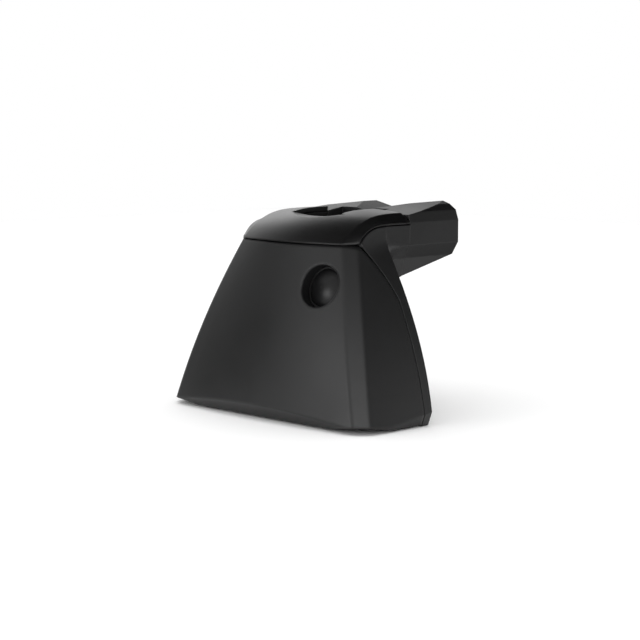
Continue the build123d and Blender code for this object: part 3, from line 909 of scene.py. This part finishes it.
@dataclass
class FootCasting(SubAssembly):
    """The casting, with what is fixed in it.

    Attributes:
        bolt_insert: Insert that the tension bolt turns in.
        arm_insert: Inserts under the arm for the bar's bolts.
    """

    bolt_insert: Insert = Insert(radius=0.0065, bore=0.00406, length=0.011, pitch=0.00125)
    arm_insert: Insert = Insert(radius=0.0055, bore=0.0034, length=0.008, pitch=0.001)

    finishes = {
        "foot_body": CAST_BLACK,
        "threaded_insert": TURNED_BRASS,
        "arm_insert_1": TURNED_BRASS,
        "arm_insert_2": TURNED_BRASS,
        "guide_pin_left": GROUND_STEEL,
        "guide_pin_right": GROUND_STEEL,
        "hinge_pin_left": GROUND_STEEL,
        "hinge_pin_right": GROUND_STEEL,
    }

    def fittings(self, record: dict) -> dict[str, bpy.types.Object]:
        """Build the inserts.

        Args:
            record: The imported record.

        Returns:
            The inserts, by the name of the solid that each one stands for.
        """
        outboard = Line.through("threaded_insert", Axis.Y, sign=-1)
        built = {"threaded_insert": self.bolt_insert.build("bolt_insert", outboard)}
        for number in (1, 2):
            node = f"arm_insert_{number}"
            built[node] = self.arm_insert.build(f"bar_insert_{number}", Line.through(node, Axis.Z))
        return built


@dataclass(frozen=True)
class Skirt:
    """Thin wall that closes the cap's hollow around the well, on three sides.

    Attributes:
        half_width: Half of the distance between its side walls.
        thickness: Thickness of the wall.
        low: Height of its lower edge, which is let into the casting.
        edge: Y and height of points along its upper edge, which is let into the cap. The first is at the front wall.
    """

    half_width: float = 0.01305
    thickness: float = 0.00055
    low: float = 0.0733
    edge: tuple[Span, ...] = ((0.01795, 0.0765), (0.022, 0.077), (0.026, 0.0774), (0.0366, 0.0775))

    def build(self, name: str) -> bpy.types.Object:
        """Build the skirt.

        Args:
            name: Name of the object.

        Returns:
            The new object.
        """
        form = bmesh.new()
        sections = []
        for side, points in ((-1, reversed(self.edge)), (1, self.edge)):
            for point in points:
                y, high = point
                inner = (side * self.half_width, y)
                outer_y = y - self.thickness if point == self.edge[0] else y
                outer = (side * (self.half_width + self.thickness), outer_y)
                corners = ((*inner, self.low), (*inner, high), (*outer, high), (*outer, self.low))
                sections.append([form.verts.new(corner) for corner in corners])
        for first, second in zip(sections, sections[1:]):
            for step, corner in enumerate(first):
                after = (step + 1) % len(first)
                form.faces.new((corner, first[after], second[after], second[step]))
        form.faces.new(sections[0])
        form.faces.new(sections[-1])
        return as_object(form, name)


@dataclass
class TopCap(SubAssembly):
    """The cap, its two screws and the skirt around its well.

    Attributes:
        screw: Screw that holds the cap from under the arm.
        skirt: Wall around the well.
    """

    screw: Screw = Screw(
        head_radius=0.0036,
        head_height=0.0024,
        radius=0.002,
        length=0.0111,
        drive=Drive.LOBED,
        drive_size=0.0015,
        drive_depth=0.0014,
        thread=Thread(start=0.003, end=0.0106, pitch=0.0009, depth=0.0004),
    )
    skirt: Skirt = Skirt()

    finishes = {"top_cap": CAP_PLASTIC, "cap_screw_1": PLATED_STEEL, "cap_screw_2": PLATED_STEEL}

    def fittings(self, record: dict) -> dict[str, bpy.types.Object]:
        """Build the cap's screws.

        Args:
            record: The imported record.

        Returns:
            The screws, by the name of the solid that each one stands for.
        """
        built = {}
        for number in (1, 2):
            node = f"cap_screw_{number}"
            line = Line.through(node, Axis.Z, inset=self.screw.head_height)
            built[node] = self.screw.build(f"cap_fixing_{number}", line)
        return built

    def dress(self, frame: dict, shop: FinishShop) -> None:
        """Dress the cap, and add the skirt that moves with it.

        Args:
            frame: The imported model.
            shop: Source of the materials.
        """
        super().dress(frame, shop)
        wall = self.skirt.build("well_skirt")
        wall.data.materials.append(shop.material(CAP_PLASTIC))
        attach(wall, self._body(frame["record"], "top_cap"))
        self._slot(frame["record"], "top_cap")
        LOG.info("%s: %s", wall.name, CAP_PLASTIC.name)


@dataclass
class FrontCover(SubAssembly):
    """The swinging cover."""

    finishes = {"front_cover": COVER_PLASTIC}


@dataclass
class LockSet(SubAssembly):
    """The lock in the cover.

    Attributes:
        screw: Screw that holds the sleeve.
        ear_reach: Distance from the lock's axis to a screw.
        ear_depth: Depth of the screws' seat behind the lock's place on the cover.
    """

    screw: Screw = Screw(
        head_radius=0.0022,
        head_height=0.0014,
        radius=0.00125,
        length=0.004,
        drive=Drive.LOBED,
        drive_size=0.00095,
        drive_depth=0.0008,
        thread=Thread(start=0.0003, end=0.0037, pitch=0.0006, depth=0.00025),
        tip_bevel=0.0002,
        head_bevel=0.0002,
    )
    ear_reach: float = 0.0109
    ear_depth: float = 0.009

    finishes = {
        "lock_sleeve": LOCK_BLACK,
        "lock_plug": LOCK_FACE,
        "lock_cam": PLATED_STEEL,
        "cam_nut": PLATED_STEEL,
        "lock_screw_1": PLATED_STEEL,
        "lock_screw_2": PLATED_STEEL,
    }

    def fittings(self, record: dict) -> dict[str, bpy.types.Object]:
        """Build the sleeve's screws, below and above the lock's axis.

        Args:
            record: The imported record.

        Returns:
            The screws, by the name of the solid that each one stands for.
        """
        joint = next(row for row in record["behaviour"]["joints"] if row["name"] == "lock_turn")
        inward = Vector(joint["axis"])
        upward = Vector((1.0, 0.0, 0.0)).cross(inward)
        built = {}
        for number, side in ((1, -1), (2, 1)):
            seat = Vector(joint["pos_m"]) + self.ear_depth * inward + side * self.ear_reach * upward
            line = Line(tuple(seat), tuple(-inward))
            built[f"lock_screw_{number}"] = self.screw.build(f"sleeve_screw_{number}", line)
        return built


@dataclass
class TensionSet(SubAssembly):
    """The bolt and the carrier that it draws in.

    Attributes:
        bolt: The tension bolt, with a groove for its clip.
    """

    bolt: Screw = Screw(
        head_radius=0.0065,
        head_height=0.008,
        radius=0.004,
        length=0.029,
        drive=Drive.HEX,
        drive_size=0.003,
        drive_depth=0.004,
        thread=Thread(start=0.0085, end=0.0279, pitch=0.00125, depth=0.0006),
        tip_bevel=0.001,
        head_bevel=0.0005,
        groove=Groove(start=0.00666, end=0.00786, radius=0.0034),
    )

    finishes = {
        "tension_bolt": BOLT_STEEL,
        "bolt_washer": PLATED_STEEL,
        "bolt_clip": SPRING_STEEL,
        "clip_carrier": PRESSED_STEEL,
    }

    def fittings(self, record: dict) -> dict[str, bpy.types.Object]:
        """Build the tension bolt."""
        line = Line.through("tension_bolt", Axis.Y, inset=self.bolt.head_height)
        return {"tension_bolt": self.bolt.build("drawing_bolt", line)}


def face(thing: bpy.types.Object, aim: Place) -> None:
    """Turn a lamp, a card or the camera toward a point."""
    way = Vector(aim) - thing.location
    thing.rotation_euler = way.to_track_quat("-Z", "Y").to_euler()


@dataclass(frozen=True)
class Softbox:
    """Soft lamp that looks at the foot.

    Attributes:
        name: Name of the lamp.
        place: Where it hangs.
        size: Width and height.
        power: Power in watts.
        aim: Point that it looks at.
    """

    name: str
    place: Place
    size: Span
    power: float
    aim: Place = (0.0, 0.02, 0.04)

    def hang(self) -> None:
        """Hang the lamp."""
        data = bpy.data.lights.new(self.name, "AREA")
        data.shape = "RECTANGLE"
        data.size, data.size_y = self.size
        data.energy = self.power
        lamp = bpy.data.objects.new(self.name, data)
        bpy.context.collection.objects.link(lamp)
        lamp.location = self.place
        face(lamp, self.aim)


@dataclass(frozen=True)
class Card:
    """Glowing grey sheet that paints a dark reflection of a part of the room; it is seen in reflections alone.

    Attributes:
        name: Name of the card.
        place: Where its middle stands.
        size: Width and height.
        aim: Point that it faces.
        grey: How bright it looks.
        glow_noise_scale: Features of the uneven glow in a metre.
        glow_noise_share: How far the glow strays from its grey.
    """

    name: str
    place: Place
    size: Span
    aim: Place
    grey: float
    glow_noise_scale: float = 40.0
    glow_noise_share: float = 0.1

    def stand(self) -> None:
        """Stand the card."""
        half_x, half_y = self.size[0] / 2, self.size[1] / 2
        corners = [(-half_x, -half_y, 0), (half_x, -half_y, 0), (half_x, half_y, 0), (-half_x, half_y, 0)]
        mesh = bpy.data.meshes.new(self.name)
        mesh.from_pydata(corners, [], [(0, 1, 2, 3)])
        mesh.materials.append(self._painted_reflection())
        card = bpy.data.objects.new(self.name, mesh)
        bpy.context.collection.objects.link(card)
        card.location = self.place
        face(card, self.aim)
        # Seen in reflections alone: the card paints a dark reflection, casts no shadow and lights nothing.
        card.visible_camera = False
        card.visible_shadow = False
        card.visible_diffuse = False

    def _painted_reflection(self) -> bpy.types.Material:
        """Make the card's glow, which paints a dark reflection of the room.

        Returns:
            A material that glows with the card's grey.
        """
        material = bpy.data.materials.new(f"{self.name}_painted_reflection")
        material.use_nodes = True
        material.node_tree.nodes.clear()
        sheet = NodeSheet(material.node_tree)
        glow = sheet.add("ShaderNodeEmission")
        output = sheet.add("ShaderNodeOutputMaterial")
        glow_noise = sheet.noise(sheet.place(), self.glow_noise_scale, detail=2.0)
        low, high = (1 - self.glow_noise_share) * self.grey, (1 + self.glow_noise_share) * self.grey
        sheet.join(sheet.remap(glow_noise, low, high), glow.inputs["Strength"])
        sheet.join(glow.outputs["Emission"], output.inputs["Surface"])
        return material


@dataclass
class Studio:
    """White set, soft lamps, glowing cards that paint dark reflections, and the camera.

    Attributes:
        camera_at: Place of the camera.
        aim: Point that the camera looks at.
        focal_mm: Focal length.
        sensor_mm: Width of the sensor.
        near: Distance at which the camera starts to see.
        room_light: Strength of the room's light on the set, where 1 is white.
        floor_width: Width of the floor, which ends where the lamps still make it white.
        floor_height: Height of the floor, just under the foot.
        floor_tints: Two greys of the floor.
        floor_scale: Patches of the floor in a metre.
        floor_roughness: Roughness of the floor.
        floor_specular: Specular level of the floor.
        softboxes: The lamps.
        cards: The cards, which paint dark reflections of the room and painted shade on the floor.
    """

    camera_at: Place = (0.47545, -0.45312, 0.11777)
    aim: Place = (0.00944, 0.00951, 0.03715)
    focal_mm: float = 95.6
    sensor_mm: float = 36.0
    near: float = 0.01
    room_light: float = 0.95
    floor_width: float = 2.1
    floor_height: float = -0.0002
    floor_tints: Span = (0.97, 0.985)
    floor_scale: float = 3.0
    floor_roughness: float = 0.9
    floor_specular: float = 0.1
    softboxes: tuple[Softbox, ...] = (
        Softbox("overhead_softbox", (-0.2, -0.1, 0.9), (0.8, 0.8), power=1.3),
        Softbox("front_softbox", (-0.33, -1.06, 0.2), (0.36, 0.3), power=2.4),
        Softbox("right_softbox", (0.76, -0.72, 0.37), (0.36, 0.3), power=2.4),
        Softbox("left_softbox", (-0.98, 0.66, 0.7), (0.5, 0.6), power=1.0),
    )
    # Each card glows and is seen in reflections alone, so it paints a dark reflection. The three on the floor paint
    # the floor's shade into the reflections, and the one under the arm paints the arm's shadow there.
    cards: tuple[Card, ...] = (
        Card("dark_ceiling", (-0.06, 0.62, 0.5), (0.84, 1.75), aim=(-0.06, 0.62, 0.0), grey=0.01),
        Card("right_ceiling", (0.83, 0.62, 0.5), (0.93, 1.75), aim=(0.83, 0.62, 0.0), grey=0.16),
        Card("left_ceiling", (-0.66, -0.15, 0.5), (0.3, 0.5), aim=(-0.66, -0.15, 0.0), grey=0.3),
        Card("back_flag", (0.0, 1.25, 0.45), (0.75, 0.7), aim=(0.0, 0.0, 0.45), grey=0.02),
        Card("arm_flag", (0.85, 1.2, 0.12), (0.6, 0.4), aim=(0.0, 0.0, 0.12), grey=0.2),
        Card("left_flag", (-0.96, -0.72, 0.3), (0.9, 0.7), aim=(0.0, 0.0, 0.3), grey=0.02),
        # Painted shade on the floor near the foot, on its left, seen in reflections alone.
        Card("near_left_painted_floor_shade", (-0.6, -0.45, 0.0006), (1.0, 0.8), aim=(-0.6, -0.45, -1.0), grey=0.1),
        # Painted shade on the floor behind the foot and to its right, seen in reflections alone.
        Card("back_right_painted_floor_shade", (0.72, 0.74, 0.0006), (1.0, 1.0), aim=(0.72, 0.74, -1.0), grey=0.2),
        # Painted shadow of the arm on the floor under it, seen in reflections alone.
        Card("under_arm_painted_shadow", (-0.02, 0.19, 0.0006), (0.2, 0.2), aim=(-0.02, 0.19, -1.0), grey=0.2),
    )

    def build(self) -> None:
        """Place the set, the lamps, the cards and the camera."""
        self._world()
        self._floor()
        for softbox in self.softboxes:
            softbox.hang()
        for card in self.cards:
            card.stand()
        self._camera()
        bpy.context.scene.view_settings.view_transform = "Standard"

    def _world(self) -> None:
        """Give a white background to what is seen, and an even light to the rest."""
        world = bpy.data.worlds.new("white_room")
        bpy.context.scene.world = world
        world.use_nodes = True
        world.node_tree.nodes.clear()
        sheet = NodeSheet(world.node_tree)
        path = sheet.add("ShaderNodeLightPath")
        seen = sheet.maths("MAXIMUM", path.outputs["Is Camera Ray"], path.outputs["Is Glossy Ray"])
        seen = sheet.maths("MAXIMUM", seen, path.outputs["Is Transmission Ray"])
        back = sheet.add("ShaderNodeBackground")
        back.inputs["Color"].default_value = (1.0, 1.0, 1.0, 1.0)
        sheet.join(sheet.remap(seen, self.room_light, 1.0), back.inputs["Strength"])
        output = sheet.add("ShaderNodeOutputWorld")
        sheet.join(back.outputs["Background"], output.inputs["Surface"])

    def _floor(self) -> None:
        """Lay a pale floor that keeps the foot's shadow."""
        bpy.ops.mesh.primitive_plane_add(size=self.floor_width, location=(0.0, 0.0, self.floor_height))
        floor = bpy.context.object
        floor.name = "pale_floor"
        material = bpy.data.materials.new("pale_floor_paint")
        material.use_nodes = True
        sheet = NodeSheet(material.node_tree)
        shader = material.node_tree.nodes["Principled BSDF"]
        shader.inputs["Roughness"].default_value = self.floor_roughness
        shader.inputs["Specular IOR Level"].default_value = self.floor_specular
        patches = sheet.noise(sheet.place(), self.floor_scale, detail=2.0)
        first, second = ((grey, grey, grey) for grey in self.floor_tints)
        sheet.join(sheet.blend(patches, first, second), shader.inputs["Base Color"])
        floor.data.materials.append(material)

    def _camera(self) -> None:
        """Set the camera up."""
        data = bpy.data.cameras.new("camera")
        data.sensor_width = self.sensor_mm
        data.lens = self.focal_mm
        data.clip_start = self.near
        camera = bpy.data.objects.new("camera", data)
        bpy.context.collection.objects.link(camera)
        camera.location = self.camera_at
        face(camera, self.aim)
        bpy.context.scene.camera = camera


def main() -> None:
    """Dress the foot and set the studio."""
    logging.basicConfig(level=logging.INFO)
    for thing in list(bpy.data.objects):
        bpy.data.objects.remove(thing)
    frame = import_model()
    shop = FinishShop(EffectGroups())
    for assembly in (FootCasting(), TopCap(), FrontCover(), LockSet(), TensionSet()):
        assembly.dress(frame, shop)
    Studio().build()


if __name__ == "__main__":
    main()
